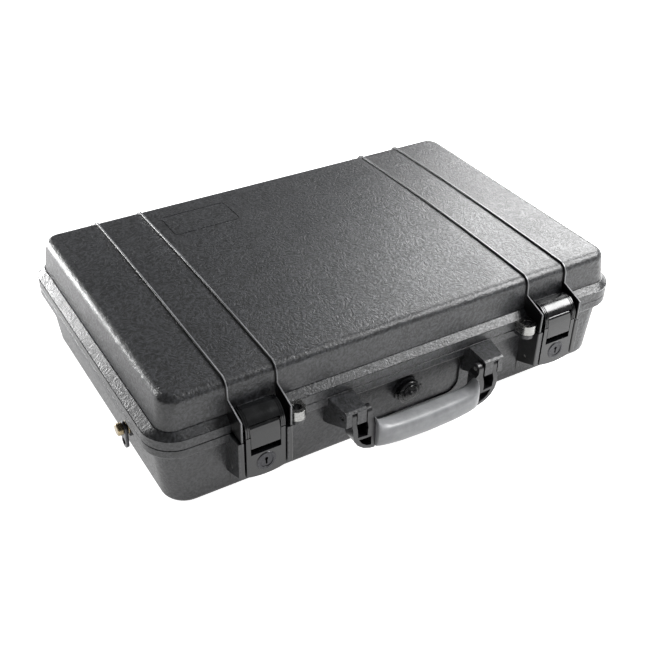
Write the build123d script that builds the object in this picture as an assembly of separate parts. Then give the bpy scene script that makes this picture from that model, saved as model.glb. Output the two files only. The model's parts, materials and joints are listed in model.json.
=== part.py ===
from build123d import *
import os

# Laptop hard case: a moulded base and lid on two rear hinges, closed by two double-throw
# latches with key locks, with a folding handle, padlock eyes, a purge valve and strap posts.
# Millimetres. X runs along the length, -Y is the latch side, +Z is up. The origin is on the
# flat underside, midway between the ends.

# ---------------------------------------------------------------- driving dimensions
half_length = 252.5          # half the length over the lips
lip_front = -165.0           # front edge of both lips
lip_back = 155.5             # back edge of both lips
lip_corner = 30.0            # corner radius of the lips seen from above
parting_z = 70.0             # height where lid meets base
parting_gap = 0.15           # each lip stands this far back from the parting plane
base_lip_low = 60.0          # underside of the base lip
lid_lip_high = 79.5          # top of the upright edge of the lid lip
case_top = 117.5             # top of the lid, without its ribs
base_rim = parting_z - parting_gap
lid_rim = parting_z + parting_gap

wall = 4.2                   # moulded wall thickness
base_foot = (238.5, -157.0, 145.5)    # half length, front and back of the base at its underside
base_brow = (246.3, -157.8, 148.3)    # the same at the parting plane
lid_foot = (243.4, -157.6, 148.8)     # the same where the lid wall meets its lip
lid_brow = (238.8, -154.8, 146.4)     # the same at the top of the lid
plan_corner = 23.0           # upright corner radius of the base walls and of both hollows
lid_corner = 16.0            # upright corner radius of the lid walls
base_edge = 5.5              # rounding of the bottom edges
lid_edge = 9.0               # rounding of the top edges
shoulder_z = 85.0            # height where the sloping lip top meets the lid wall

rib_x = (135.8, 182.2)       # the four ribs stand at plus and minus these
rib_width = 2.2
rib_height = 1.9
guard_front = -182.0         # front edge of the latch guards
rib_round = 0.7              # rounding of the ribs and thin guards
guard_round = 1.0            # rounding of the thick guards
base_guard_x = ((134.2, 139.8), (180.4, 186.0))

seal_half = 246.4            # centre line of the seal groove
seal_front = -159.2
seal_back = 149.6
seal_corner = 24.0
groove_width = 4.0
groove_depth = 5.0
tongue_width = 2.8
tongue_height = 2.0
seal_width = 3.6
seal_height = 2.7

hinge_y = 159.0              # hinge axis, in the parting plane
hinge_knuckle = 5.5
hinge_clear = 6.3
hinge_pin_radius = 2.5
hinge_middle = 160.1         # centre of each hinge along X
hinge_half = 25.9            # half the hinge's length, over the outer ears
hinge_root = 148.0           # where the knuckles leave the shells
lid_ear_back = 161.5         # rear edge of the ears on the lid
ear_top = 106.5              # top of those ears
base_ear_back = 164.5        # rear edge of the ears on the base
lid_knuckles = ((140.6, 154.4), (165.8, 179.6))
base_knuckle = (155.2, 165.0)

latch_x = 160.1              # centre of each latch along X
latch_half = 18.6            # half the width of a latch
cheek = 4.2                  # width of a latch body's side cheek
latch_face = -181.8          # front face of latch and lock plate
latch_pivot = (-168.0, 34.5) # y and z of the pin the latch swings on
lever_pivot = (-176.3, 78.8) # y and z of the pin the lever swings on
pin_radius = 1.6
lever_half = 14.0            # half the width of the lever
lever_low = 59.5             # lower edge of the lever
plate_high = 53.0            # upper edge of the lock plate
plate_low = 27.3             # lowest point of the plate's curved edge
cap_top = 93.2               # top of the hook cap
roof_low = 90.1              # underside of the cap
hook_back = -161.0           # rear end of the cap
cap_round = 16.0             # rounding of the cap towards the front
window_top = 84.6            # lower edge of the cap, above the lever
web_front = -171.6           # front and
web_back = -169.4            # back of the web behind the lever
step_z = 73.4                # step across the cheeks
groove_offsets = (15.3, 17.1)
groove_half = 0.45
groove_cut = 0.6
lock_z = 42.0
lock_ring = 9.5
lock_core = 6.2
barrel_back = -172.0         # rear face of the fixed lock ring

eye_x = 126.0                # padlock eye
eye_y = -173.5
eye_bore = 4.0
eye_radius = 6.8
eye_low = 66.0               # underside of the eye in the base
guard_steel = 1.2            # thickness of the padlock guards on the lid
guard_fit = 0.15             # space between a guard and its eye

bracket_x = (64.3, 89.5)     # handle bracket at the wall, from its inner to its outer face
bracket_front_x = (65.2, 85.4)        # the same at its front
slot_x = (74.5, 80.1)        # slot for the outer plate of the handle arm
handle_pivot = (-184.0, 58.5)
handle_knuckle = 5.6
handle_pin_radius = 2.0
outer_plate = (75.0, 79.6)
inner_plate = (58.6, 63.8)
grip_y = -190.0
grip_half = 56.0
core_half_width = 5.0
core_low = 26.0
core_high = 37.0

valve_face = -158.6          # front of the flat pad that the valve sits on
valve_z = 39.0
valve_bore = 6.0
valve_flange = 12.0
valve_stem = 5.8

recess_half = 62.0           # shallow finger recess in the front wall, behind the handle
recess_z = (14.0, 59.4)
recess_corner = 14.0
recess_depth = 2.0

strap_y = -84.0              # strap post on each end wall
strap_z = 43.0
strap_neck = 3.5

label_centre = (-87.0, 98.0)
label_size = (72.0, 42.0)
label_line = 1.0             # width and
label_depth = 0.7            # depth of the line around the bare label field

foam_half = 232.0            # foam lining
foam_front = -148.5
foam_back = 138.5
foam_corner = 14.0
foam_bevel = 5.0
foam_gap = 0.4
pad_top = 12.0
foam_top = 68.0
well_half = 184.0            # laptop well cut into the base foam
well_front = -130.0
well_back = 122.0
well_floor = 34.0
scoop_radius = 22.0
lid_foam_low = 80.0

slack = 0.05                 # radial running clearance of pins
gap = 0.3                    # general clearance between moving pieces

LEFT_RIGHT = {"left": -1, "right": 1}


# ---------------------------------------------------------------- helpers
def span_box(x_pair, y_pair, z_pair):
    """Box between two corners."""
    centre = [(pair[0] + pair[1]) / 2 for pair in (x_pair, y_pair, z_pair)]
    size = [abs(pair[1] - pair[0]) for pair in (x_pair, y_pair, z_pair)]
    return Pos(*centre) * Box(*size)


def plan_rectangle(half_x, front, back, radius, z):
    """Rounded rectangle seen from above, at height z."""
    return Pos(0, (front + back) / 2, z) * RectangleRounded(2 * half_x, back - front, radius)


def drafted_block(low, high, z_low, z_high, radius):
    """Block that changes from one plan rectangle to another."""
    return loft([plan_rectangle(*low, radius, z_low), plan_rectangle(*high, radius, z_high)])


def plan_ring(half_x, front, back, radius, width, z_low, z_high):
    """Closed ridge that follows a rounded rectangle."""
    half = width / 2
    outer = plan_rectangle(half_x + half, front - half, back + half, radius + half, z_low)
    inner = plan_rectangle(half_x - half, front + half, back - half, radius - half, z_low)
    return extrude(outer - inner, z_high - z_low)


def side_plate(points, x_pair, radius=0.0):
    """Plate of a (y, z) outline, from one x to another."""
    if radius:
        outline = FilletPolyline(*points, radius=radius, close=True)
    else:
        outline = Polyline(*points, close=True)
    return extrude(Plane.YZ.offset(x_pair[0]) * make_face(outline), x_pair[1] - x_pair[0])


def rounded_plate(plate, radius):
    """Plate with the long edges of both its faces rounded."""
    return fillet(plate.faces().filter_by(Axis.X).edges(), radius)


def front_plate(points, y_pair):
    """Plate of an (x, z) outline, from its front to its back face."""
    outline = Polyline(*[(x, 0, z) for x, z in points], close=True)
    face = Pos(0, y_pair[1], 0) * make_face(outline)
    return extrude(face, y_pair[1] - y_pair[0], dir=(0, -1, 0))


def top_plate(points, z_pair):
    """Plate of an (x, y) outline, from its lower to its upper face."""
    outline = Polyline(*[(x, y, z_pair[0]) for x, y in points], close=True)
    return extrude(make_face(outline), z_pair[1] - z_pair[0], dir=(0, 0, 1))


def rod_x(radius, x_pair, y, z):
    """Round rod along X."""
    middle = (x_pair[0] + x_pair[1]) / 2
    return Pos(middle, y, z) * Rot(0, 90, 0) * Cylinder(radius, x_pair[1] - x_pair[0])


def rod_y(radius, y_pair, x, z):
    """Round rod along Y."""
    middle = (y_pair[0] + y_pair[1]) / 2
    return Pos(x, middle, z) * Rot(90, 0, 0) * Cylinder(radius, y_pair[1] - y_pair[0])


def rod_z(radius, z_pair, x, y):
    """Round rod along Z."""
    return Pos(x, y, (z_pair[0] + z_pair[1]) / 2) * Cylinder(radius, z_pair[1] - z_pair[0])


def both_sides(shape):
    """A shape made on the right, with its mirror image on the left."""
    return shape + mirror(shape, Plane.YZ)


def on_side(shape, side):
    """A shape made on the right, moved to the side asked for."""
    return shape if side > 0 else mirror(shape, Plane.YZ)


def inset(rectangle, amount):
    """Half length, front and back of a rectangle drawn in by an amount."""
    half_x, front, back = rectangle
    return half_x - amount, front + amount, back - amount


# ---------------------------------------------------------------- base shell
def base_outside():
    block = drafted_block(base_foot, base_brow, 0, base_rim, plan_corner)
    return fillet(block.faces().sort_by(Axis.Z)[0].edges(), base_edge)


def base_hollow():
    low = inset(base_foot, wall)
    high = inset(base_brow, wall)
    block = drafted_block(low, high, wall, base_rim + 1, plan_corner - wall)
    return fillet(block.faces().sort_by(Axis.Z)[0].edges(), base_edge - wall)


def finger_recess():
    """Shallow rounded recess that gives the fingers room behind the handle."""
    low, high = recess_z
    outline = Pos(0, (low + high) / 2) * RectangleRounded(2 * recess_half, high - low, recess_corner)
    prism = extrude(Plane.XZ.offset(148) * outline, 20)
    floor = drafted_block(
        inset(base_foot, recess_depth), inset(base_brow, recess_depth), 0, base_rim, plan_corner,
    )
    return prism - floor


def base_lip():
    plate = extrude(
        plan_rectangle(half_length, lip_front, lip_back, lip_corner, base_lip_low),
        base_rim - base_lip_low,
    )
    plate = fillet(plate.faces().sort_by(Axis.Z)[0].edges(), 3.0)
    return fillet(plate.faces().sort_by(Axis.Z)[-1].edges(), 0.8)


def base_front_guard(x_pair):
    points = [(-148, 20.5), (-156.5, 21.5), (guard_front, 31), (guard_front, base_rim), (-148, base_rim)]
    return rounded_plate(side_plate(points, x_pair), guard_round)


def base_foot_rib(x):
    """Low rib that follows the wall from a guard to the underside."""
    pair = (x - rib_width / 2, x + rib_width / 2)
    front = side_plate([(-130, 0), (-156.6, 0), (-159.2, 40), (-130, 40)], pair, 5.0)
    back = side_plate([(120, 0), (146.6, 0), (149.4, 40), (120, 40)], pair, 5.0)
    return front + back


def base_back_guard(x_pair):
    points = [
        (138, 30), (148, 31), (base_ear_back - 3, 42), (base_ear_back, 66),
        (base_ear_back, base_rim), (138, base_rim),
    ]
    plate = rounded_plate(side_plate(points, x_pair), guard_round)
    return plate + rod_x(hinge_knuckle, x_pair, hinge_y, parting_z)


def handle_bracket():
    roof_z = handle_pivot[1] + handle_knuckle + 0.4
    outline = [
        (-150, 36), (-156, 37), (-190, 50.5), (-190, roof_z + 1.2), (-187.5, roof_z + 2.4),
        (lip_front, 68.9), (-150, 68.9),
    ]
    block = side_plate(outline, bracket_x)
    block &= top_plate(
        [(bracket_x[0], -145), (bracket_x[0], lip_front), (bracket_front_x[0], -192),
         (bracket_front_x[1], -192), (bracket_x[1], lip_front), (bracket_x[1], -145)],
        (20, 80),
    )
    block = fillet(block.edges().filter_by(Axis.X).sort_by(Axis.Y)[:3], 1.0)
    block -= span_box(slot_x, (-200, handle_pivot[0] + 7.6), (20, roof_z))
    return block - rod_x(handle_pin_radius + slack, (60, 87), *handle_pivot)


def padlock_eye(z_pair):
    """Lug beside a latch, bored for a padlock."""
    lug = rod_z(eye_radius, z_pair, eye_x, eye_y)
    lug += span_box((eye_x - eye_radius, base_guard_x[0][0] + 1), (eye_y, lip_front + 2), z_pair)
    return lug


def strap_boss():
    """Flat pad for the strap post on the end wall."""
    return rod_x(9.0, (236, 246.2), strap_y, strap_z)


def make_base_shell():
    shell = base_outside() - finger_recess() + base_lip()
    extras = base_front_guard(base_guard_x[0]) + base_front_guard(base_guard_x[1])
    for x in rib_x:
        extras += base_foot_rib(x)
    for pair in base_guard_x:
        extras += base_back_guard(pair)
    extras += span_box(base_knuckle, (hinge_root, hinge_y), (base_lip_low, base_rim))
    extras += rod_x(hinge_knuckle, base_knuckle, hinge_y, parting_z)
    extras += handle_bracket()
    extras += padlock_eye((eye_low, base_rim))
    extras += strap_boss()
    shell += both_sides(extras)
    shell += rod_y(13.5, (valve_face, -150), 0, valve_z)
    shell -= base_hollow()
    shell += plan_ring(seal_half, seal_front, seal_back, seal_corner,
                       tongue_width, base_rim - 0.5, base_rim + tongue_height)
    cuts = rod_x(hinge_pin_radius + 0.03, (130, 190), hinge_y, parting_z)
    for pair in lid_knuckles:
        cuts += rod_x(hinge_clear, (pair[0] - gap, pair[1] + gap), hinge_y, parting_z)
    cuts += rod_z(eye_bore, (50, 75), eye_x, eye_y)
    cuts += rod_x(pin_radius + 0.02, (130, 190), *latch_pivot)
    cuts += rod_x(2.5, (225, 250), strap_y, strap_z)
    shell -= both_sides(cuts)
    shell -= rod_y(valve_bore, (-162, -145), 0, valve_z)
    return shell


# ---------------------------------------------------------------- lid shell
def lid_outside():
    block = drafted_block(lid_foot, lid_brow, lid_lip_high - 2, case_top, lid_corner)
    return fillet(block.faces().sort_by(Axis.Z)[-1].edges(), lid_edge)


def lid_hollow():
    low = inset(base_brow, wall)
    high = inset(lid_brow, wall)
    block = drafted_block(low, high, lid_rim - 1, case_top - wall, plan_corner - wall)
    return fillet(block.faces().sort_by(Axis.Z)[-1].edges(), lid_edge - wall)


def lid_lip():
    plate = extrude(
        plan_rectangle(half_length, lip_front, lip_back, lip_corner, lid_rim),
        lid_lip_high - lid_rim,
    )
    edge = inset((half_length, lip_front, lip_back), 0.6)
    foot = plan_rectangle(*edge, lip_corner - 0.6, lid_lip_high - 0.1)
    shoulder = plan_rectangle(*inset(lid_foot, -0.2), lid_corner, shoulder_z)
    plate = fillet(plate.faces().sort_by(Axis.Z)[0].edges(), 0.8)
    return plate + loft([foot, shoulder])


def lid_rib(x):
    """Raised rib from the front lip over the top to the back lip."""
    pair = (x - rib_width / 2, x + rib_width / 2)
    points = [
        (lid_foot[1] - rib_height, lid_lip_high), (lid_brow[1] - rib_height, case_top + rib_height),
        (lid_brow[2] + rib_height, case_top + rib_height), (lid_foot[2] + rib_height, lid_lip_high),
    ]
    outline = FilletPolyline(*points, radius=lid_edge + rib_height)
    outline += Line(points[-1], points[0])
    rib = extrude(Plane.YZ.offset(pair[0]) * make_face(outline), rib_width)
    return rounded_plate(rib, rib_round)


def lid_guard(x):
    """Thin plates that shield the latch in front and the hinge behind."""
    pair = (x - rib_width / 2, x + rib_width / 2)
    low = lid_rim + 0.9
    front_points = [(-150, 99.5), (-158.4, 99.5), (guard_front, 91.5), (guard_front, low), (-150, low)]
    back_points = [
        (140, ear_top), (lid_ear_back - 1.5, ear_top), (lid_ear_back, ear_top - 2.5),
        (lid_ear_back, low), (140, low),
    ]
    front = rounded_plate(side_plate(front_points, pair), rib_round)
    back = rounded_plate(side_plate(back_points, pair), rib_round)
    back -= rod_x(hinge_clear + 0.6, (pair[0] - 1, pair[1] + 1), hinge_y, parting_z)
    return front + back


def latch_catch():
    """Bar on the lid that the latch hooks over."""
    width = (latch_x - 13.8, latch_x + 13.8)
    return side_plate([(-150, 76), (-168.8, 76), (-168.8, 89.7), (-150, 89.7)], width)


def label_frame():
    """Sunk line around the bare field for an owner's label."""
    inner_size = [side - 2 * label_line for side in label_size]
    line = RectangleRounded(*label_size, 5) - RectangleRounded(*inner_size, 5 - label_line)
    return extrude(Pos(*label_centre, case_top - label_depth) * line, 2)


def make_lid_shell():
    shell = lid_outside() + lid_lip()
    extras = latch_catch()
    for x in rib_x:
        extras += lid_rib(x) + lid_guard(x)
    for pair in lid_knuckles:
        extras += span_box(pair, (hinge_root, hinge_y), (lid_rim, lid_lip_high))
        extras += rod_x(hinge_knuckle, pair, hinge_y, parting_z)
    extras += padlock_eye((lid_rim + 0.9, lid_lip_high))
    shell += both_sides(extras)
    shell -= lid_hollow()
    shell -= plan_ring(seal_half, seal_front, seal_back, seal_corner,
                       groove_width, lid_rim - 1, lid_rim + groove_depth)
    cuts = rod_x(hinge_pin_radius + slack, (138, 182), hinge_y, parting_z)
    for pair in base_guard_x + (base_knuckle,):
        cuts += rod_x(hinge_clear, (pair[0] - gap, pair[1] + gap), hinge_y, parting_z)
    cuts += rod_z(eye_bore, (65, 85), eye_x, eye_y)
    shell -= both_sides(cuts)
    return shell - label_frame()


def make_lid_seal():
    top = lid_rim + groove_depth
    return plan_ring(seal_half, seal_front, seal_back, seal_corner, seal_width, top - seal_height, top)


# ---------------------------------------------------------------- foam lining
def foam_block(z_low, z_high):
    return extrude(plan_rectangle(foam_half, foam_front, foam_back, foam_corner, z_low), z_high - z_low)


def make_base_foam_pad():
    pad = foam_block(wall + foam_gap, pad_top)
    return chamfer(pad.faces().sort_by(Axis.Z)[0].edges(), foam_bevel)


def make_lid_foam():
    block = foam_block(lid_foam_low, case_top - wall - foam_gap)
    return chamfer(block.faces().sort_by(Axis.Z)[-1].edges(), foam_bevel)


def make_base_foam():
    """Foam block with a laptop well, finger scoops at its ends and a notch for the valve."""
    block = foam_block(pad_top, foam_top)
    well = plan_rectangle(well_half, well_front, well_back, 12, well_floor)
    block -= extrude(well, foam_top)
    scoop = rod_z(scoop_radius, (well_floor + 8, foam_top + 5), well_half, (well_front + well_back) / 2)
    block -= both_sides(scoop)
    notch = span_box((-13, 13), (foam_front - 1, foam_front + 6.5), (valve_z - 13, valve_z + 13))
    return block - notch


# ---------------------------------------------------------------- hinge, latch and lock pieces
def make_hinge_pin():
    ends = (hinge_middle - hinge_half, hinge_middle + hinge_half)
    return rod_x(hinge_pin_radius, ends, hinge_y, parting_z)


def latch_front_outline():
    """Front view of the latch body: straight sides and a curved lower edge."""
    left = latch_x - latch_half
    right = latch_x + latch_half
    side_low = plate_low + 2.7
    sides = Polyline((left, side_low), (left, cap_top + 2), (right, cap_top + 2), (right, side_low))
    curve = ThreePointArc((right, side_low), (latch_x, plate_low), (left, side_low))
    return make_face(Plane.XZ * (sides + curve))


def latch_profile(depth):
    """Side view of the latch's front and hook, drawn in by a depth."""
    face = latch_face + depth
    top = cap_top - depth
    outline = FilletPolyline(
        (face, plate_low - 1), (face, top), (hook_back, top), (hook_back, roof_low - 1.5),
        radius=[cap_round - depth, 2.0],
    )
    outline += Polyline(
        (hook_back, roof_low - 1.5), (hook_back, roof_low), (web_back, roof_low), (web_back, 50),
        (web_front + 0.2, 50), (web_front + 0.2, plate_low - 1), (face, plate_low - 1),
    )
    return Plane.YZ * make_face(outline)


def latch_grooves():
    """Two fine grooves down each side of the hook cap, and the step across each cheek."""
    skin = extrude(latch_profile(0), 400) - extrude(latch_profile(groove_cut), 400)
    grooves = None
    for offset in groove_offsets:
        for centre in (latch_x - offset, latch_x + offset):
            span = (centre - groove_half, centre + groove_half)
            strip = span_box(span, (-190, -150), (step_z, 100)) & skin
            grooves = strip if grooves is None else grooves + strip
    step_back = latch_face + groove_cut + 0.4
    step = span_box((latch_x - 20, latch_x + 20), (-190, step_back), (step_z - 0.9, step_z))
    return grooves + step


def make_latch_body():
    inner = (latch_x - lever_half - 0.4, latch_x + lever_half + 0.4)
    outer = (latch_x - latch_half, latch_x + latch_half)
    body = extrude(latch_profile(0), 400) & span_box(outer, (-200, -150), (0, 120))
    body -= latch_grooves()
    body -= span_box(inner, (latch_face - 1, web_front), (plate_high, window_top))
    body -= span_box(inner, (-190, web_front), (80, roof_low)) & extrude(latch_profile(2.4), 400)
    body += rod_x(3.8, outer, *latch_pivot)
    pivot_y, pivot_z = latch_pivot
    body += span_box(outer, (pivot_y - 4.5, pivot_y), (pivot_z - 3.8, pivot_z + 3.8))
    body &= extrude(latch_front_outline(), 60, dir=(0, -1, 0)).moved(Location((0, -150, 0)))
    body -= rod_x(pin_radius + slack, (130, 190), *latch_pivot)
    body -= rod_x(pin_radius + 0.02, (130, 190), *lever_pivot)
    body -= rod_y(lock_ring, (-190, -160), latch_x, lock_z)
    return body


def make_latch_lever():
    y, z = lever_pivot
    sides = (latch_x - lever_half, latch_x + lever_half)
    points = [
        (y - 4.1, z), (latch_face + 0.1, 74), (latch_face - 0.1, lever_low), (-177.6, lever_low),
        (-178.2, 68), (y + 1.5, z - 3.8), (y, z),
    ]
    lever = side_plate(points, sides) + rod_x(4.1, sides, y, z)
    lever = fillet(lever.edges().filter_by(Axis.X).sort_by(Axis.Z)[:1], 0.8)
    return lever - rod_x(pin_radius + slack, (130, 190), y, z)


def make_latch_pivot_pin():
    return rod_x(pin_radius, (base_guard_x[0][0] + 0.6, base_guard_x[1][1] - 0.2), *latch_pivot)


def make_lever_pin():
    return rod_x(pin_radius, (latch_x - latch_half + 0.2, latch_x + latch_half - 0.2), *lever_pivot)


def make_lock_barrel():
    """Fixed ring of the key lock, held in the lock plate."""
    ring = rod_y(lock_ring, (latch_face - 0.8, barrel_back), latch_x, lock_z)
    ring = chamfer(ring.edges().sort_by(Axis.Y)[:1], 0.7)
    return ring - rod_y(lock_core + slack, (-190, -160), latch_x, lock_z)


def make_lock_plug():
    """Turning core with its key slot, and the cam behind it."""
    plug = rod_y(lock_core, (latch_face - 0.2, barrel_back + 0.3), latch_x, lock_z)
    key_depth = (latch_face - 1, latch_face + 6)
    plug -= span_box((latch_x - 0.8, latch_x + 0.8), key_depth, (lock_z - 3.6, lock_z + 3.6))
    plug -= rod_y(1.5, key_depth, latch_x, lock_z + 2)
    cam = span_box((latch_x - 2.5, latch_x + 2.5), (barrel_back + 0.3, barrel_back + 1.8),
                   (lock_z - 2.5, lock_z + 7.6))
    return plug + cam


def make_padlock_guard():
    """Steel cup around the front of the padlock eye on the lid."""
    inner = eye_radius + guard_fit
    outer = inner + guard_steel
    reach = base_guard_x[0][0] - 0.2
    back = lip_front - 0.2
    low = lid_rim + 0.9
    high = lid_lip_high + guard_fit
    whole = (low, high + guard_steel)
    cup = rod_z(outer, whole, eye_x, eye_y) + span_box((eye_x - outer, reach), (eye_y, back), whole)
    hollow = (low - 1, high)
    cup -= rod_z(inner, hollow, eye_x, eye_y)
    cup -= span_box((eye_x - inner, reach + 1), (eye_y, back + 1), hollow)
    cup -= span_box((reach, reach + 20), (-200, -150), (50, 90))
    return cup - rod_z(eye_bore + 0.3, (50, 90), eye_x, eye_y)


# ---------------------------------------------------------------- handle
def arm_side(x_pair):
    """One side plate of a handle arm, round at its pivot."""
    y, z = handle_pivot
    points = [
        (y - handle_knuckle, z), (y - handle_knuckle, z - 7), (-192, 46), (-192, 12), (-177, 12),
        (-177, 50), (y + handle_knuckle, z),
    ]
    return side_plate(points, x_pair) + rod_x(handle_knuckle, x_pair, y, z)


def arm_front_outline():
    """Front view of one arm: it drops straight, then curves in to the grip."""
    return [
        (outer_plate[1], 70), (outer_plate[1], 40.5), (78.0, 33.6), (74.2, 27.4), (68.2, 22.6),
        (61.0, 19.8), (grip_half + 0.2, 19.0), (grip_half + 0.2, 52.6), (inner_plate[0], 55.5),
        (inner_plate[0], 70),
    ]


def make_handle_frame():
    block = side_plate([(-192, 12), (-177, 12), (-177, 70), (-192, 70)], (50, 85))
    arm = front_plate(arm_front_outline(), (-192, -177))
    sides = arm_side((inner_plate[0] - 3, inner_plate[1])) + arm_side(outer_plate)
    web = side_plate([(-192, 12), (-177, 12), (-177, 43.4), (-192, 43.4)], (50, 85))
    arm = arm & block & (sides + web)
    pocket = (-200, -180.5)
    upper = front_plate([(64.2, 44), (74.9, 44), (74.4, 37.2), (64.2, 36.2)], pocket)
    lower = front_plate([(60.2, 33.4), (73.4, 34.2), (70.0, 28.6), (65.8, 25.2), (60.2, 23.2)], pocket)
    arm -= upper + lower
    arm -= rod_x(handle_pin_radius + slack, (50, 90), *handle_pivot)
    core = span_box((-grip_half - 3, grip_half + 3), (grip_y - core_half_width, grip_y + core_half_width),
                    (core_low, core_high))
    core &= span_box((-90, 90), (-192, -177), (0, 80))
    return both_sides(arm) + core


def make_handle_grip():
    """Soft sleeve over the core, fuller in the middle."""
    stations = [
        (-grip_half, 14.6, 33.0, 36.0), (-53.5, 17.4, 28.0, 33.6), (-50, 19.4, 25.0, 32.0),
        (-45, 20.8, 23.4, 30.8), (-30, 21.6, 23.6, 29.2), (0, 22.0, 24.0, 28.4),
    ]
    stations += [(-x, w, h, z) for x, w, h, z in reversed(stations[:-1])]
    sections = []
    for x, width, height, z in stations:
        plane = Plane(origin=(x, grip_y, z), x_dir=(0, 1, 0), z_dir=(1, 0, 0))
        sections.append(plane * RectangleRounded(width, height, 0.46 * width))
    sleeve = loft(sections)
    core = span_box((-grip_half - 3, grip_half + 3), (-192, grip_y + core_half_width), (core_low, core_high))
    return sleeve - core


def make_handle_pin():
    return rod_x(handle_pin_radius, (inner_plate[0] - 0.6, bracket_front_x[1]), *handle_pivot)


# ---------------------------------------------------------------- valve and strap fittings
def make_valve_body():
    flange = rod_y(valve_flange, (valve_face - 5.6, valve_face - 1.2), 0, valve_z)
    flange = chamfer(flange.edges().sort_by(Axis.Y)[:1], 0.8)
    tab = span_box((-15, -9), (valve_face - 3.2, valve_face - 1.2), (valve_z - 2.5, valve_z + 2.5))
    stem = rod_y(valve_stem, (valve_face - 1.2, -146), 0, valve_z)
    body = flange + tab + mirror(tab, Plane.YZ) + stem
    body -= rod_y(8.6, (valve_face - 8, valve_face - 3.4), 0, valve_z)
    return body - rod_y(2.6, (-175, -140), 0, valve_z)


def make_valve_seal():
    ring = rod_y(9.0, (valve_face - 1.2, valve_face), 0, valve_z)
    return ring - rod_y(valve_bore + 0.2, (valve_face - 3, valve_face + 2), 0, valve_z)


def make_valve_nut():
    nut = extrude(Plane.XZ * RegularPolygon(9.5, 6), 3.5, dir=(0, 1, 0))
    nut = Pos(0, -150.6, valve_z) * nut
    return nut - rod_y(valve_stem, (-155, -140), 0, valve_z)


def make_valve_knob():
    disc = rod_y(8.3, (valve_face - 6.4, valve_face - 3.7), 0, valve_z)
    disc = fillet(disc.edges().sort_by(Axis.Y)[:1], 0.8)
    nub = rod_y(2.4, (valve_face - 8.1, valve_face - 6), 0, valve_z)
    nub = fillet(nub.edges().sort_by(Axis.Y)[:1], 1.2)
    grip = span_box((-6.6, 6.6), (valve_face - 7.6, valve_face - 6), (valve_z - 0.9, valve_z + 0.9))
    stem = rod_y(2.5, (valve_face - 4.2, -152), 0, valve_z)
    return disc + nub + grip + stem


def make_strap_post():
    profile = [(239, 2.4), (246.3, 2.4), (246.3, 6.5), (247.5, 6.5), (247.5, strap_neck), (251.8, strap_neck)]
    profile += [(251.8, 5.8), (256.2, 5.8), (257.0, 5.0), (257.0, 0), (239, 0)]
    outline = Polyline(*[(x, 0, radius) for x, radius in profile], close=True)
    post = revolve(make_face(outline), Axis.X, 360)
    return Pos(0, strap_y, strap_z) * post


def make_strap_link():
    """Flat steel link that hangs from the neck of the post."""
    x_pair = (248.2, 251.2)
    low = strap_z - 15.5
    link = rod_x(6.2, x_pair, strap_y, strap_z) + rod_x(6.2, x_pair, strap_y, low)
    link += span_box(x_pair, (strap_y - 6.2, strap_y + 6.2), (low, strap_z))
    link = chamfer(link.edges().filter_by(Plane.YZ), 0.5)
    link -= rod_x(strap_neck + 0.25, (240, 260), strap_y, strap_z)
    return link - rod_x(3.6, (240, 260), strap_y, low)


# ---------------------------------------------------------------- write the nodes
def make_nodes():
    nodes = {
        "base_shell": make_base_shell(),
        "lid_shell": make_lid_shell(),
        "lid_seal": make_lid_seal(),
        "base_foam_pad": make_base_foam_pad(),
        "base_foam": make_base_foam(),
        "lid_foam": make_lid_foam(),
        "handle_frame": make_handle_frame(),
        "handle_grip": make_handle_grip(),
        "valve_body": make_valve_body(),
        "valve_seal": make_valve_seal(),
        "valve_nut": make_valve_nut(),
        "valve_knob": make_valve_knob(),
    }
    paired = {
        "hinge_pin": make_hinge_pin(),
        "latch_body": make_latch_body(),
        "latch_lever": make_latch_lever(),
        "latch_pivot_pin": make_latch_pivot_pin(),
        "lever_pin": make_lever_pin(),
        "lock_barrel": make_lock_barrel(),
        "lock_plug": make_lock_plug(),
        "padlock_guard": make_padlock_guard(),
        "handle_pin": make_handle_pin(),
        "strap_post": make_strap_post(),
        "strap_link": make_strap_link(),
    }
    for name, shape in paired.items():
        for side_name, side in LEFT_RIGHT.items():
            nodes[name + "_" + side_name] = on_side(shape, side)
    return nodes


os.makedirs("parts", exist_ok=True)
for node_name, node_shape in make_nodes().items():
    export_step(node_shape, "parts/" + node_name + ".step")
    print(node_name, [round(v, 1) for v in node_shape.bounding_box().size])
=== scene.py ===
# %% [markdown]
# # A hard case for a laptop
# The real thing is a moulded case: two shells of black polypropylene on a pair of rear hinges,
# closed by two latches with key locks, carried by a folding handle and lined with foam.
# The construction arrives ready made, as solids at their real size. This lesson dresses it:
# edges get the small roundings that a mould leaves, soft parts are modelled as what they are,
# and every surface gets a finish worked out from its real material.

# %% Load the frame
import json
import math

import bpy
from mathutils import Matrix, Vector


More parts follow.
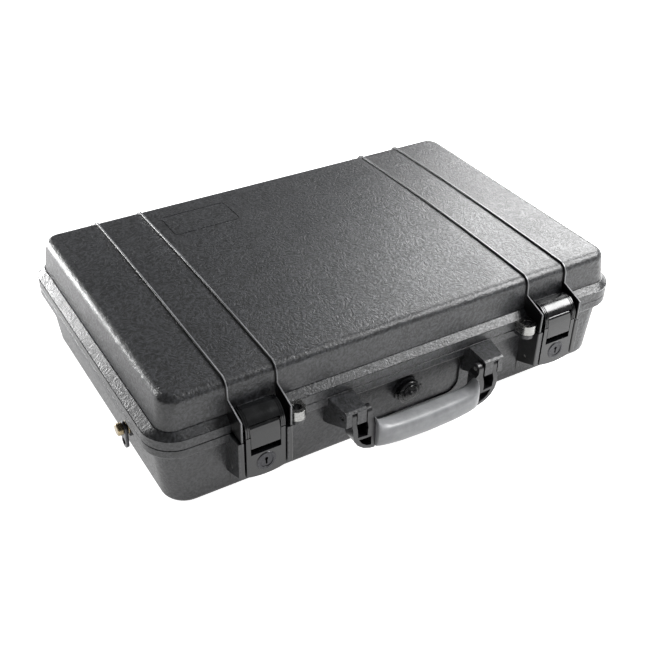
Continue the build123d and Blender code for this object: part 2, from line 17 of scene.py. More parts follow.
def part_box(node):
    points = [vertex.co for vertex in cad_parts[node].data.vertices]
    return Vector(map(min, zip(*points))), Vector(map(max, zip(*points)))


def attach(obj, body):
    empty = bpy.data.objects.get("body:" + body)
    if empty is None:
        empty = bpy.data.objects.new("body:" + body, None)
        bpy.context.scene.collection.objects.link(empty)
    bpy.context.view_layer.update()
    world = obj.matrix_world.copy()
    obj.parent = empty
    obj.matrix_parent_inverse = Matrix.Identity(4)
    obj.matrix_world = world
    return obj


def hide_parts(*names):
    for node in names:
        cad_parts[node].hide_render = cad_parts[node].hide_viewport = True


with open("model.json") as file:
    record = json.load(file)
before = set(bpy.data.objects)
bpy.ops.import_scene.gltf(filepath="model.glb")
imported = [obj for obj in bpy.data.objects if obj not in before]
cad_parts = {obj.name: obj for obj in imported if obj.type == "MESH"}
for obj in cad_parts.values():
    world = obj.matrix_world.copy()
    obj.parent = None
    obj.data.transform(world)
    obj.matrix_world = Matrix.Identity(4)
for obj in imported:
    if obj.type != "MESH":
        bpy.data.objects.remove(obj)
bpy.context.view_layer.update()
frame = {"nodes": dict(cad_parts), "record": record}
mm = 0.001

# %% [markdown]
# ## The camera
# The case is seen from the front left and from above. A camera is three things: where it
# points, from which side, and how long its lens is. Keeping those as angles and a distance
# makes the view easy to read; the matrix is worked out from them.

# %% Camera
picture_side = 650                     # pixels, a square picture
focal_pixels = 1028.4                  # focal length in pixels of that picture
camera_azimuth = math.radians(-31.27)  # from the front, turned towards the left
camera_elevation = math.radians(35.28)
camera_roll = math.radians(1.11)
camera_distance = 1.0874
camera_target = Vector((0.0058, 0.0, 0.0129))

back = Vector((
    math.sin(camera_azimuth) * math.cos(camera_elevation),
    -math.cos(camera_azimuth) * math.cos(camera_elevation),
    math.sin(camera_elevation),
))
level_right = (-back).cross(Vector((0, 0, 1))).normalized()
level_up = level_right.cross(-back)
right = math.cos(camera_roll) * level_right + math.sin(camera_roll) * level_up
up = math.cos(camera_roll) * level_up - math.sin(camera_roll) * level_right
camera_data = bpy.data.cameras.new("camera")
camera_data.sensor_width = 36.0
camera_data.lens = focal_pixels / picture_side * camera_data.sensor_width
camera = bpy.data.objects.new("camera", camera_data)
bpy.context.scene.collection.objects.link(camera)
turn = Matrix((right, up, back)).transposed().to_4x4()
camera.matrix_world = Matrix.Translation(camera_target + back * camera_distance) @ turn
bpy.context.scene.camera = camera
print("lens, mm:", round(camera_data.lens, 2))

# %% [markdown]
# ## Working tools
# Edit-mode operators act on whatever is selected, so each step begins by clearing the
# selection. `only` makes one object the active, selected one. `apply` adds a modifier,
# sets it up and applies it at once, so that the finished mesh holds the shape.

# %% Selection and modifiers
def only(piece):
    bpy.ops.object.select_all(action="DESELECT")
    piece.select_set(True)
    bpy.context.view_layer.objects.active = piece


def apply(piece, kind, **settings):
    only(piece)
    modifier = piece.modifiers.new(kind.lower(), kind)
    for name, value in settings.items():
        setattr(modifier, name, value)
    bpy.ops.object.modifier_apply(modifier=modifier.name)


def smooth(piece, degrees=35):
    only(piece)
    bpy.ops.object.shade_smooth_by_angle(angle=math.radians(degrees))


def rest_in_place(piece):
    """Put the object at the origin with its place in its mesh, and point its faces outwards."""
    only(piece)
    bpy.ops.object.transform_apply(location=True, rotation=True, scale=True)
    bpy.ops.object.mode_set(mode="EDIT")
    bpy.ops.mesh.select_all(action="SELECT")
    bpy.ops.mesh.remove_doubles(threshold=0.01 * mm)
    bpy.ops.mesh.normals_make_consistent(inside=False)
    bpy.ops.object.mode_set(mode="OBJECT")


def select_above(piece, height):
    """Select the faces whose centre is higher than this. Start and end in edit mode."""
    bpy.ops.object.mode_set(mode="OBJECT")
    for face in piece.data.polygons:
        face.select = face.center.z > height
    bpy.ops.object.mode_set(mode="EDIT")


def soften(piece, width_mm, segments):
    """Round the sharp edges of a soft piece."""
    apply(piece, "BEVEL", width=width_mm * mm, segments=segments, limit_method="ANGLE",
          angle_limit=math.radians(50))


def report(piece):
    size = [round(v / mm, 1) for v in piece.dimensions]
    print(piece.name, "faces", len(piece.data.polygons), "size mm", size)


print("a millimetre is", mm, "of Blender's units")


# %% [markdown]
# ## Colours and nodes
# A colour is written the way a painter's chart gives it, as an sRGB hex value, and one
# function turns it to the linear numbers that a renderer adds up. One small function adds
# a shader node with its settings and its inputs, either plain values or links.

# %% Colours and nodes
def colour(text):
    linear = []
    for start in (1, 3, 5):
        channel = int(text[start:start + 2], 16) / 255
        if channel <= 0.04045:
            linear.append(channel / 12.92)
        else:
            linear.append(((channel + 0.055) / 1.055) ** 2.4)
    return (*linear, 1.0)


def add(tree, kind, inputs=None, **settings):
    made = tree.nodes.new(kind)
    for name, value in settings.items():
        setattr(made, name, value)
    for name, value in (inputs or {}).items():
        if isinstance(value, bpy.types.NodeSocket):
            tree.links.new(value, made.inputs[name])
        else:
            made.inputs[name].default_value = value
    return made


def start_material(name, metallic=0.0, roughness=0.5, ior=None):
    """A material with its shader, its tree and its Object coordinates."""
    material = bpy.data.materials.new(name)
    material.use_nodes = True
    tree = material.node_tree
    shader = tree.nodes["Principled BSDF"]
    shader.inputs["Metallic"].default_value = metallic
    shader.inputs["Roughness"].default_value = roughness
    if ior is not None:
        shader.inputs["IOR"].default_value = ior
    place = add(tree, "ShaderNodeTexCoord").outputs["Object"]
    return material, tree, shader, place


def per_metre(size_mm):
    """Texture scale for a pattern whose cells are this many millimetres wide."""
    return 1.0 / (size_mm * mm)


def spread_of(tree, noise, low, high):
    """A value that runs from low to high over the middle of a noise, 0.3 to 0.7."""
    return add(tree, "ShaderNodeMapRange", {
        "Value": noise, "From Min": 0.3, "From Max": 0.7, "To Min": low, "To Max": high,
    }).outputs[0]


print("linear value of #808080:", round(colour("#808080")[0], 3))


# %% [markdown]
# ## Polypropylene shell
# Polypropylene copolymer, injection moulded in a tool whose walls were scratched by hand into
# short strokes that run every way. The strokes come off on the plastic, so the surface is
# black but never mirror bright: each ridge throws its own thin highlight, and at a distance
# they add up to a sheen wherever a lamp is mirrored. To draw them, space is split into small
# cells, each cell turns its own copy of a stretched noise, and the noise drives a little
# colour, the roughness and the relief. Real strokes are about 0.4 mm wide; they are drawn at
# 2 mm here, so that a picture of the whole case can show them.
#
# The four ribs are two pairs, mirrored about the middle, so one distance from the nearest rib
# serves them all. The tool was left smooth along the sides of the ribs, which makes them
# flat and less rough; their colour there is painted darker, a painted shade. The narrow crest
# on the lid is painted paler, a painted highlight, more in some places than in others.

# %% Shell material
stroke_width = 2.0     # mm
stroke_patch = 7.0     # mm, a patch of strokes that run one way
stroke_stretch = (1.0, 0.32, 0.8)
stroke_turn = (0.9, 0.9, 6.3)      # radians, the most that a patch turns about X, Y and Z
stroke_depth = 0.50 * mm
cloud_size = 60.0      # mm, slow changes in sheen
rib_places = (135.8 * mm, 182.2 * mm)              # from the middle, on both sides
shaded_smooth_side, open_from = 1.4 * mm, 2.4 * mm        # smooth and painted shade up to the first, strokes from the second
highlight_core, highlight_end = 0.25 * mm, 0.55 * mm       # half width of the painted crest highlight and its fade
highlight_low, highlight_high = 60 * mm, 95 * mm               # heights between which the painted crest highlight sets in
rib_roughness = 0.28

shell_plastic, tree, shader, place = start_material(
    "moulded_polypropylene", roughness=0.42, ior=1.55,
)
patches = add(tree, "ShaderNodeTexVoronoi", {"Vector": place, "Scale": per_metre(stroke_patch)})
local = add(tree, "ShaderNodeVectorMath", {
    0: place, 1: patches.outputs["Position"],
}, operation="SUBTRACT")
angles = add(tree, "ShaderNodeVectorMath", {
    0: patches.outputs["Color"], 1: stroke_turn,
}, operation="MULTIPLY")
turned = add(tree, "ShaderNodeVectorRotate", {
    "Vector": local.outputs[0], "Rotation": angles.outputs[0],
}, rotation_type="EULER_XYZ")
shifted = add(tree, "ShaderNodeVectorMath", {
    0: turned.outputs[0], 1: patches.outputs["Color"],
}, operation="ADD")
stretched = add(tree, "ShaderNodeMapping", {"Vector": shifted.outputs[0], "Scale": stroke_stretch})
strokes = add(tree, "ShaderNodeTexNoise", {
    "Vector": stretched.outputs[0], "Scale": per_metre(stroke_width),
    "Detail": 2.0, "Roughness": 0.6,
})
clouds = add(tree, "ShaderNodeTexNoise", {
    "Vector": place, "Scale": per_metre(cloud_size), "Detail": 2.0,
})
tone = add(tree, "ShaderNodeValToRGB", {"Fac": strokes.outputs["Fac"]})
tone.color_ramp.elements[0].position = 0.38
tone.color_ramp.elements[0].color = colour("#070809")
tone.color_ramp.elements[1].position = 0.66
tone.color_ramp.elements[1].color = colour("#38393c")
rough_strokes = spread_of(tree, strokes.outputs["Fac"], 0.44, 0.34)
rough_clouds = spread_of(tree, clouds.outputs["Fac"], -0.03, 0.03)
rough = add(tree, "ShaderNodeMath", {0: rough_strokes, 1: rough_clouds}, operation="ADD")

# the distance of a point from the nearest rib, then 0 beside a rib and 1 on the open wall
axes = add(tree, "ShaderNodeSeparateXYZ", {"Vector": place})
across = add(tree, "ShaderNodeMath", {0: axes.outputs["X"]}, operation="ABSOLUTE")
away = []
for rib_place in rib_places:
    offset = add(tree, "ShaderNodeMath", {
        0: across.outputs[0], 1: rib_place,
    }, operation="SUBTRACT")
    distance = add(tree, "ShaderNodeMath", {0: offset.outputs[0]}, operation="ABSOLUTE")
    away.append(distance.outputs[0])
nearest = add(tree, "ShaderNodeMath", {0: away[0], 1: away[1]}, operation="MINIMUM")
open_wall = add(tree, "ShaderNodeMapRange", {
    "Value": nearest.outputs[0], "From Min": shaded_smooth_side, "From Max": open_from,
}).outputs[0]
# beside the ribs the colour is mixed to #060607, a painted shade
shaded_wall_tone = add(tree, "ShaderNodeMix", {
    "Factor": open_wall, "A": colour("#060607"), "B": tone.outputs["Color"],
}, data_type="RGBA")
# the pale crest of each rib on the lid is a painted highlight, patchy along its length
crest_highlight_mask = add(tree, "ShaderNodeMapRange", {
    "Value": nearest.outputs[0], "From Min": highlight_core, "From Max": highlight_end,
    "To Min": 1.0, "To Max": 0.0,
})
highlight_patchiness = spread_of(tree, clouds.outputs["Fac"], 0.4, 1.0)
on_lid = add(tree, "ShaderNodeMapRange", {
    "Value": axes.outputs["Z"], "From Min": highlight_low, "From Max": highlight_high,
})
painted_highlight = add(tree, "ShaderNodeMath", {0: crest_highlight_mask.outputs[0], 1: highlight_patchiness}, operation="MULTIPLY")
painted_highlight = add(tree, "ShaderNodeMath", {0: painted_highlight.outputs[0], 1: on_lid.outputs[0]}, operation="MULTIPLY")
shell_tone = add(tree, "ShaderNodeMix", {
    "Factor": painted_highlight.outputs[0], "A": shaded_wall_tone.outputs["Result"], "B": colour("#9a9b9e"),
}, data_type="RGBA")
tree.links.new(shell_tone.outputs["Result"], shader.inputs["Base Color"])
shell_rough = add(tree, "ShaderNodeMix", {
    "Factor": open_wall, "A": rib_roughness, "B": rough.outputs[0],
})
tree.links.new(shell_rough.outputs["Result"], shader.inputs["Roughness"])
depth = add(tree, "ShaderNodeMath", {0: open_wall, 1: stroke_depth}, operation="MULTIPLY")
relief = add(tree, "ShaderNodeBump", {
    "Height": strokes.outputs["Fac"], "Strength": 0.75, "Distance": depth.outputs[0],
})
tree.links.new(relief.outputs["Normal"], shader.inputs["Normal"])
print("made", shell_plastic.name, "of", len(shell_plastic.node_tree.nodes), "nodes")

# %% [markdown]
# ## Smooth black plastics
# The latches are ABS out of a polished tool, so they mirror the room. Handling leaves faint
# smears, which change the tone a little and how sharp the mirror is. The handle's frame and
# the valve are nylon: black too, but satin, with a fine random texture. The grip's grey rubber
# and the black one of the seals follow the same recipe with other tones.

# %% Latch, nylon and rubber materials
smear_size = 9.0       # mm


def smooth_plastic(name, deep, worn, low, high, grain_mm, relief_mm):
    material, tree, shader, place = start_material(name, roughness=low, ior=1.53)
    smears = add(tree, "ShaderNodeTexNoise", {
        "Vector": place, "Scale": per_metre(smear_size), "Detail": 4.0, "Roughness": 0.6,
    })
    tone = add(tree, "ShaderNodeValToRGB", {"Fac": smears.outputs["Fac"]})
    tone.color_ramp.elements[0].position = 0.35
    tone.color_ramp.elements[0].color = colour(deep)
    tone.color_ramp.elements[1].position = 0.75
    tone.color_ramp.elements[1].color = colour(worn)
    tree.links.new(tone.outputs["Color"], shader.inputs["Base Color"])
    rough = spread_of(tree, smears.outputs["Fac"], low, high)
    tree.links.new(rough, shader.inputs["Roughness"])
    grain = add(tree, "ShaderNodeTexNoise", {
        "Vector": place, "Scale": per_metre(grain_mm), "Detail": 2.0,
    })
    relief = add(tree, "ShaderNodeBump", {
        "Height": grain.outputs["Fac"], "Strength": 0.25, "Distance": relief_mm * mm,
    })
    tree.links.new(relief.outputs["Normal"], shader.inputs["Normal"])
    return material


latch_plastic = smooth_plastic("polished_black_abs", "#08090a", "#131416", 0.16, 0.26, 5.0, 0.10)
valve_plastic = smooth_plastic("moulded_black_nylon", "#0a0a0b", "#161618", 0.22, 0.32, 3.0, 0.05)
nylon_plastic = smooth_plastic("glass_filled_nylon", "#101012", "#232326", 0.26, 0.38, 1.2, 0.12)
grip_rubber = smooth_plastic("grey_grip_rubber", "#7e7f81", "#909193", 0.32, 0.40, 1.4, 0.06)
seal_rubber = smooth_plastic("black_seal_rubber", "#101011", "#1c1c1e", 0.55, 0.70, 2.0, 0.15)
for made in (latch_plastic, valve_plastic, nylon_plastic, grip_rubber, seal_rubber):
    print("made", made.name)

# %% [markdown]
# ## Metals
# Stainless guards around the padlock eyes, drawn steel pins, a blackened die-cast lock and a
# nickel-toned brass post. A metal has no base plastic under it: its colour is the colour of
# its highlight. Fine drawing lines run one way, so the noise is stretched along one axis.

# %% Metal materials
def drawn_metal(name, bright, dull, low, high, line_mm, stretch):
    material, tree, shader, place = start_material(name, metallic=1.0, roughness=low)
    along = add(tree, "ShaderNodeMapping", {"Vector": place, "Scale": stretch})
    lines = add(tree, "ShaderNodeTexNoise", {
        "Vector": along.outputs[0], "Scale": per_metre(line_mm), "Detail": 3.0, "Roughness": 0.6,
    })
    tone = add(tree, "ShaderNodeValToRGB", {"Fac": lines.outputs["Fac"]})
    tone.color_ramp.elements[0].position = 0.3
    tone.color_ramp.elements[0].color = colour(dull)
    tone.color_ramp.elements[1].position = 0.7
    tone.color_ramp.elements[1].color = colour(bright)
    tree.links.new(tone.outputs["Color"], shader.inputs["Base Color"])
    rough = spread_of(tree, lines.outputs["Fac"], low, high)
    tree.links.new(rough, shader.inputs["Roughness"])
    return material


guard_steel = drawn_metal(
    "pressed_stainless_steel", "#9a9a98", "#727270", 0.20, 0.34, 0.8, (0.2, 0.2, 1.0),
)
pin_steel = drawn_metal(
    "drawn_steel_pin", "#c4c4c2", "#9a9a98", 0.25, 0.40, 0.5, (0.1, 1.0, 1.0),
)
lock_metal = drawn_metal(
    "blackened_die_casting", "#4a4a4c", "#2c2c2e", 0.24, 0.40, 1.0, (1.0, 1.0, 1.0),
)
post_brass = drawn_metal(
    "nickel_toned_brass", "#b3a488", "#75694f", 0.16, 0.32, 0.6, (1.0, 0.3, 0.3),
)
link_steel = drawn_metal(
    "blackened_steel_link", "#5c5c5e", "#39393b", 0.28, 0.45, 0.9, (1.0, 1.0, 0.4),
)
for made in (guard_steel, pin_steel, lock_metal, post_brass, link_steel):
    print("made", made.name)

# %% [markdown]
# ## Foam
# Open-cell polyurethane foam, dark grey. Its surface is a cut through thousands of tiny
# bubbles, so it has no highlight to speak of. Its colour is paler on the cell walls and darker
# towards the middle of each cell, a painted shade in the hollows of the bubbles. The cells
# are about 0.6 mm wide in the real thing and are drawn at 1.3 mm so that they show.

# %% Foam material
foam_cell = 1.3        # mm
foam_patch = 35.0      # mm, slow changes in tone
foam_skin, tree, shader, place = start_material("open_cell_foam", roughness=0.92, ior=1.45)
cells = add(tree, "ShaderNodeTexVoronoi", {"Vector": place, "Scale": per_metre(foam_cell)})
patches = add(tree, "ShaderNodeTexNoise", {
    "Vector": place, "Scale": per_metre(foam_patch), "Detail": 3.0,
})
# darker towards the middle of each cell: painted shade in the bubble hollows
pore_shade_tone = add(tree, "ShaderNodeValToRGB", {"Fac": cells.outputs["Distance"]})
pore_shade_tone.color_ramp.elements[0].position = 0.15
pore_shade_tone.color_ramp.elements[0].color = colour("#232427")
pore_shade_tone.color_ramp.elements[1].position = 0.75
pore_shade_tone.color_ramp.elements[1].color = colour("#4a4b4f")
foam_colour = add(tree, "ShaderNodeVectorMath", {
    0: pore_shade_tone.outputs["Color"], "Scale": spread_of(tree, patches.outputs["Fac"], 0.85, 1.1),
}, operation="SCALE")
tree.links.new(foam_colour.outputs[0], shader.inputs["Base Color"])
relief = add(tree, "ShaderNodeBump", {
    "Height": cells.outputs["Distance"], "Strength": 0.6, "Distance": 0.5 * mm,
})
tree.links.new(relief.outputs["Normal"], shader.inputs["Normal"])
print("made", foam_skin.name)

# %% [markdown]
# ## Moulded and machined pieces with soft edges
# No moulded edge is a knife edge, and the thin bright line along it is what makes plastic
# look like plastic. A solid from the drawing has sharp edges, so each visible one is copied,
# its loose triangles are merged and flat areas are dissolved to whole faces, and a bevel
# rounds every edge that turns sharply. The copy then stands for the solid.

# %% Rounded copies
materials_of_slot = {
    "shell": shell_plastic, "foam": foam_skin, "seal_rubber": seal_rubber,
    "latch_plastic": latch_plastic, "handle_frame": nylon_plastic,
    "handle_grip": grip_rubber, "valve_plastic": valve_plastic,
    "guard_steel": guard_steel, "pin_steel": pin_steel, "lock_dark_metal": lock_metal,
    "post_brass": post_brass, "link_black_steel": link_steel,
}
record = frame["record"]
slot_of_node = {entry["node"]: entry["material_slot"] for entry in record["subparts"]}
body_of_node = {}
for body, members in record["behaviour"]["bodies"].items():
    for node in members:
        body_of_node[node] = body


def dress(piece, node):
    """Give a finished piece the body, slot and finish of the solid that it stands for."""
    piece.data.materials.clear()
    piece.data.materials.append(materials_of_slot[slot_of_node[node]])
    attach(piece, body_of_node[node])
    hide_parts(node)
    report(piece)
    return piece


def loose_copy(node):
    """Copy of a solid's mesh with its triangles merged to whole faces."""
    piece = bpy.data.objects.new(node + "_finished", frame["nodes"][node].data.copy())
    bpy.context.scene.collection.objects.link(piece)
    only(piece)
    bpy.ops.object.mode_set(mode="EDIT")
    bpy.ops.mesh.select_all(action="SELECT")
    bpy.ops.mesh.remove_doubles(threshold=0.002 * mm)
    bpy.ops.mesh.dissolve_limited(angle_limit=math.radians(0.4))
    bpy.ops.object.mode_set(mode="OBJECT")
    return piece


def round_edges(piece, node, width_mm):
    """Round every edge that turns sharply, shade the faces and dress the piece."""
    apply(piece, "BEVEL", width=width_mm * mm, segments=2, limit_method="ANGLE",
          angle_limit=math.radians(32), use_clamp_overlap=True)
    smooth(piece)
    apply(piece, "WEIGHTED_NORMAL", keep_sharp=True, weight=70)
    dress(piece, node)


# the width of the rounding in mm, by the start of the node's name
edge_round = {
    "latch_body": 0.8, "latch_lever": 0.9, "lock_barrel": 0.3, "lock_plug": 0.2,
    "padlock_guard": 0.35, "handle_frame": 0.8, "valve_body": 0.3, "valve_knob": 0.25,
    "strap_post": 0.3, "strap_link": 0.3,
}
for kind, width in edge_round.items():
    for node in sorted(name for name in frame["nodes"] if name.startswith(kind)):
        round_edges(loose_copy(node), node, width)

# %% [markdown]
# ## The two shells
# A flat moulded panel looks weak and sinks as it cools, so a lid is moulded slightly domed:
# here the middle of the top stands 3 mm above its rim. The top is cut into a grid so that it
# can bend, and every point above the flat is lifted by a smooth dome that fades at the rim.
# Then both shells get the small roundings of a mould along all their edges.

# %% Shell copies
lid = loose_copy("lid_shell")
only(lid)
bpy.ops.object.mode_set(mode="EDIT")
top_from = 116 * mm        # whatever is higher belongs to the top
crown_height = 3.0 * mm
crown_half = 229 * mm      # half the length of the dome
crown_front, crown_back = -145.8 * mm, 137.4 * mm
grid_step = 18 * mm
for axis, low, high in ((0, -crown_half, crown_half), (1, crown_front, crown_back)):
    count = round((high - low) / grid_step)
    for cut in range(count + 1):
        select_above(lid, top_from)
        point, normal = [0.0, 0.0, 0.0], [0.0, 0.0, 0.0]
        point[axis], normal[axis] = low + (high - low) * cut / count, 1.0
        bpy.ops.mesh.bisect(plane_co=point, plane_no=normal)
bpy.ops.object.mode_set(mode="OBJECT")
for vertex in lid.data.vertices:
    if vertex.co.z < top_from:
        continue
    along = min(1.0, abs(vertex.co.x) / crown_half)
    across = min(1.0, abs(2 * vertex.co.y - crown_front - crown_back) / (crown_back - crown_front))
    vertex.co.z += crown_height * (1 - along ** 4) * (1 - across ** 2)
base = loose_copy("base_shell")
shell_edge = 0.45      # mm
round_edges(lid, "lid_shell", shell_edge)
round_edges(base, "base_shell", shell_edge)

# %% [markdown]
# ## The grip
# A sleeve of grey rubber moulded over the handle's core. It is fullest in the middle, where
# the palm presses, and its section is a rounded oblong. A round bar with rings cut across it
# is scaled ring by ring to those sections, which is quicker to steer than a free curve.

# %% Grip sleeve
grip_low, grip_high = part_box("handle_grip")
grip_middle = (grip_low + grip_high) / 2
grip_length = grip_high.x - grip_low.x
grip_rings = 28
bpy.ops.object.select_all(action="DESELECT")
bpy.ops.mesh.primitive_cylinder_add(
    vertices=40, radius=1.0, depth=grip_length, location=grip_middle, rotation=(0, math.pi / 2, 0),
)
grip = bpy.context.object
grip.name = "handle_grip_sleeve"
bpy.ops.object.transform_apply(location=True, rotation=True, scale=True)
bpy.ops.object.mode_set(mode="EDIT")
for ring in range(1, grip_rings):
    bpy.ops.mesh.select_all(action="SELECT")
    cut_x = grip_low.x + grip_length * ring / grip_rings
    bpy.ops.mesh.bisect(plane_co=(cut_x, 0, 0), plane_no=(1, 0, 0))
bpy.ops.object.mode_set(mode="OBJECT")
# distance from the middle, then width, height and centre height, all in mm
sections = (
    (0, 22.0, 24.0, 28.4), (30, 21.6, 23.6, 29.2), (45, 20.8, 23.4, 30.8),
    (50, 19.4, 25.0, 32.0), (53.5, 17.4, 28.0, 33.6), (56, 14.6, 33.0, 36.0),
)
squareness = 2.6       # 2 is an ellipse, more is squarer


def section_at(distance_mm):
    """Width, height and centre height of the sleeve at a distance from its middle."""
    for inner, outer in zip(sections, sections[1:]):
        if distance_mm <= outer[0]:
            break
    share = min(1.0, (distance_mm - inner[0]) / (outer[0] - inner[0]))
    return [(a + (b - a) * share) * mm for a, b in zip(inner[1:], outer[1:])]


for vertex in grip.data.vertices:
    width, height, centre = section_at(abs(vertex.co.x) / mm)
    angle = math.atan2(vertex.co.z - grip_middle.z, vertex.co.y - grip_middle.y)
    spread = abs(math.cos(angle)) ** squareness + abs(math.sin(angle)) ** squareness
    reach = spread ** (-1 / squareness)
    vertex.co.y = grip_middle.y + width / 2 * reach * math.cos(angle)
    vertex.co.z = centre + height / 2 * reach * math.sin(angle)
soften(grip, 1.2, 3)
rest_in_place(grip)
smooth(grip, 50)
dress(grip, "handle_grip")

# %% [markdown]
# ## Foam lining
# Three pieces of foam fill the case. The base block has a well for the laptop with a finger
# scoop at each end, and a notch in its front that leaves room for the nut of the valve. Under
# it lies a plain pad. The lid's foam is cut in waves, like an egg box, so that it presses on
# many points. Every foam edge is soft.

# %% Foam blocks
foam_corner = 14       # mm, upright corners of every foam piece


def rounded_block(name, low, high, corner_mm):
    """A block whose upright corners are rounded."""
    bpy.ops.object.select_all(action="DESELECT")
    bpy.ops.mesh.primitive_cube_add(size=1.0, location=(low + high) / 2)
    block = bpy.context.object
    block.name = name
    block.scale = high - low
    bpy.ops.object.transform_apply(location=True, rotation=True, scale=True)
    bpy.ops.object.mode_set(mode="EDIT")
    bpy.ops.mesh.select_mode(type="EDGE")
    bpy.ops.mesh.select_all(action="DESELECT")
    bpy.ops.object.mode_set(mode="OBJECT")
    for edge in block.data.edges:
        a, b = (block.data.vertices[i].co for i in edge.vertices)
        edge.select = abs(a.z - b.z) > 1 * mm
    bpy.ops.object.mode_set(mode="EDIT")
    bpy.ops.mesh.bevel(offset=corner_mm * mm, segments=6)
    bpy.ops.mesh.select_mode(type="FACE")
    bpy.ops.object.mode_set(mode="OBJECT")
    return block


def cut_away(piece, cutter):
    apply(piece, "BOOLEAN", operation="DIFFERENCE", object=cutter, solver="EXACT")
    bpy.data.objects.remove(cutter)


pad = rounded_block("foam_floor_pad", *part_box("base_foam_pad"), foam_corner)
rest_in_place(pad)
soften(pad, 1.2, 2)
smooth(pad)
dress(pad, "base_foam_pad")

well_half, well_front, well_back, well_floor = 184 * mm, -130 * mm, 122 * mm, 34 * mm
well_corner = 12           # mm
cutter_top = 100 * mm      # above the foam, so that the well is open
scoop_radius = 22 * mm
scoop_step = 8 * mm        # the scoops end this far above the floor of the well
scoop_height = 50 * mm
notch_size = 26 * mm
notch_height, notch_out = 39 * mm, 6.5 * mm    # its middle stands out of the foam's front
foam_low, foam_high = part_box("base_foam")
lining = rounded_block("foam_lining", foam_low, foam_high, foam_corner)
well_low = Vector((-well_half, well_front, well_floor))
well_high = Vector((well_half, well_back, cutter_top))
cut_away(lining, rounded_block("well_cutter", well_low, well_high, well_corner))
scoop_place = well_floor + scoop_step + scoop_height / 2
for side in (-1, 1):
    bpy.ops.mesh.primitive_cylinder_add(
        vertices=48, radius=scoop_radius, depth=scoop_height,
        location=(side * well_half, (well_front + well_back) / 2, scoop_place),
    )
    cut_away(lining, bpy.context.object)
bpy.ops.mesh.primitive_cube_add(
    size=notch_size, location=(0, foam_low.y - notch_out, notch_height),
)
cut_away(lining, bpy.context.object)
rest_in_place(lining)
soften(lining, 2.2, 3)
smooth(lining)
dress(lining, "base_foam")

# %% [markdown]
# The egg-box foam is a slab whose lower face is cut on a grid and pushed up by two crossed
# waves, which fade to an even height at the rim. Real convoluted foam gets its waves when a
# slab is squeezed between studded rollers as it meets the knife.

# %% Convoluted lid foam
wave_pitch = 29 * mm
cuts_per_wave = 4
lid_low, lid_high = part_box("lid_foam")
waves = rounded_block("foam_lid_waves", lid_low, lid_high, foam_corner)
only(waves)
bpy.ops.object.mode_set(mode="EDIT")
step = wave_pitch / cuts_per_wave
for axis, normal in ((0, (1, 0, 0)), (1, (0, 1, 0))):
    place_of_cut = lid_low[axis] + step
    while place_of_cut < lid_high[axis] - step / 2:
        bpy.ops.mesh.select_all(action="SELECT")
        point = [0.0, 0.0, 0.0]
        point[axis] = place_of_cut
        bpy.ops.mesh.bisect(plane_co=point, plane_no=normal)
        place_of_cut += step
bpy.ops.object.mode_set(mode="OBJECT")
wave_height = 13 * mm
rim = 12 * mm          # width of the fade
for vertex in waves.data.vertices:
    if vertex.co.z > lid_low.z + 1 * mm:
        continue
    edge = min(lid_high.x - abs(vertex.co.x), vertex.co.y - lid_low.y, lid_high.y - vertex.co.y)
    inside = min(1.0, max(0.0, edge / rim))
    wave_along = math.sin(2 * math.pi * vertex.co.x / wave_pitch)
    wave_across = math.sin(2 * math.pi * vertex.co.y / wave_pitch)
    wave = wave_along * wave_across
    vertex.co.z += wave_height * (0.5 + 0.5 * wave) * inside + wave_height * 0.5 * (1 - inside)
rest_in_place(waves)
apply(waves, "SUBSURF", levels=1, render_levels=1)
only(waves)
bpy.ops.object.shade_smooth()
dress(waves, "lid_foam")

# %% [markdown]
# ## The solids that stay as drawn
# The seals, the nut of the valve and the steel pins are small or hidden between other pieces.
# They keep the shape of the drawing and only change their finish.

# %% Finish of the remaining solids
for node, solid in frame["nodes"].items():
    if solid.hide_render:
        continue
    solid.data.materials.clear()
    solid.data.materials.append(materials_of_slot[slot_of_node[node]])
    print("kept", node)

# %% [markdown]
# ## Floor and light
# A plain pale floor, a pale world and three soft lamps. The large lamp on the right, a little
# to the back, is what the lid mirrors, so its place sets where the lid turns from dark to
# light. A weaker one at the front right lights the front, and a small low one behind on the
# left grazes the left end. The floor shows white by a glow that only the camera and mirrors
# see, never by more lamp. The world does the same: white to the camera, dim to all else.

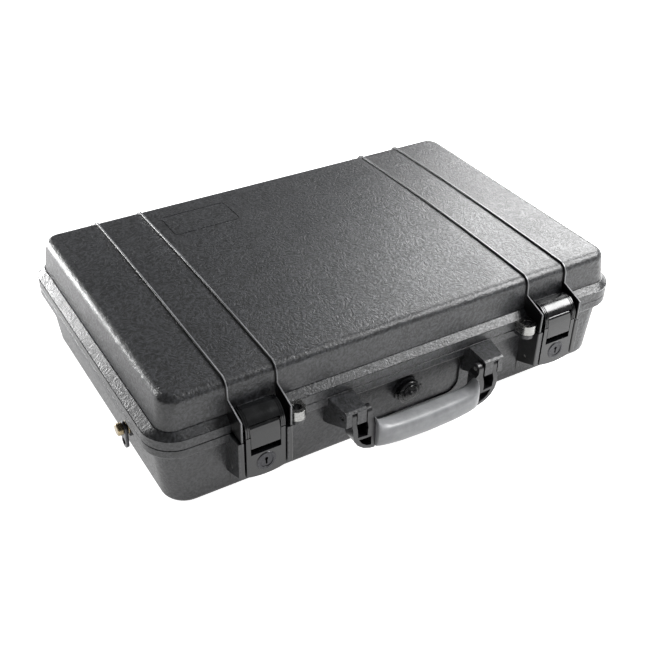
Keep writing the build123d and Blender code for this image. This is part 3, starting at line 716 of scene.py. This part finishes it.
# %% Floor and light
floor_size = 12
floor_gap = 0.3 * mm       # so that floor and underside never share a plane
speckle_size = 400         # mm, slow changes in the floor's tone
world_light = 0.23         # strength of the world for all but the camera
bpy.ops.object.select_all(action="DESELECT")
bpy.ops.mesh.primitive_plane_add(size=floor_size, location=(0, 0, -floor_gap))
floor = bpy.context.object
floor.name = "studio_floor"
floor_paint, tree, shader, place = start_material("pale_floor_paint", roughness=0.9)
shader.inputs["Specular IOR Level"].default_value = 0.0
speckle = add(tree, "ShaderNodeTexNoise", {
    "Vector": place, "Scale": per_metre(speckle_size), "Detail": 2.0,
})
paint = add(tree, "ShaderNodeValToRGB", {"Fac": speckle.outputs["Fac"]})
paint.color_ramp.elements[0].color = colour("#e6e6e6")
paint.color_ramp.elements[1].color = colour("#ececec")
tree.links.new(paint.outputs["Color"], shader.inputs["Base Color"])
rays = add(tree, "ShaderNodeLightPath")
seen = add(tree, "ShaderNodeMath", {
    0: rays.outputs["Is Camera Ray"], 1: rays.outputs["Is Glossy Ray"],
}, operation="MAXIMUM")
seen = add(tree, "ShaderNodeMath", {
    0: seen.outputs[0], 1: rays.outputs["Is Transmission Ray"],
}, operation="MAXIMUM")
glow = add(tree, "ShaderNodeEmission", {
    "Color": colour("#ffffff"), "Strength": seen.outputs[0],
})
both = add(tree, "ShaderNodeAddShader", {0: shader.outputs[0], 1: glow.outputs[0]})
tree.links.new(both.outputs[0], tree.nodes["Material Output"].inputs["Surface"])
floor.data.materials.append(floor_paint)


def soft_lamp(name, place, aim, size, power):
    """An area lamp at a place, turned to a point. Metres and watts."""
    data = bpy.data.lights.new(name, "AREA")
    data.shape = "RECTANGLE"
    data.size, data.size_y = size
    data.energy = power
    lamp = bpy.data.objects.new(name, data)
    bpy.context.scene.collection.objects.link(lamp)
    lamp.location = place
    lamp.rotation_euler = (Vector(place) - Vector(aim)).to_track_quat("Z", "Y").to_euler()
    lamp.visible_camera = False


soft_lamp("lamp_right", (1.66, 0.93, 1.17), (0.0, 0.0, 0.0), (1.25, 0.85), 46)
soft_lamp("lamp_front_right", (0.98, -0.48, 1.02), (0.05, -0.1, 0.1), (0.8, 0.5), 27)
soft_lamp("lamp_behind", (-0.62, 1.05, 0.19), (-0.2, 0.1, 0.1), (0.5, 0.26), 21)

world = bpy.data.worlds.new("studio")
bpy.context.scene.world = world
world.use_nodes = True
tree = world.node_tree
surround = tree.nodes["Background"]
surround.inputs["Color"].default_value = colour("#ffffff")
rays = add(tree, "ShaderNodeLightPath")
brightness = add(tree, "ShaderNodeMapRange", {
    "Value": rays.outputs["Is Camera Ray"], "To Min": world_light, "To Max": 1.0,
})
tree.links.new(brightness.outputs[0], surround.inputs["Strength"])

bpy.context.scene.view_settings.view_transform = "Standard"
print("floor and lamps in place")
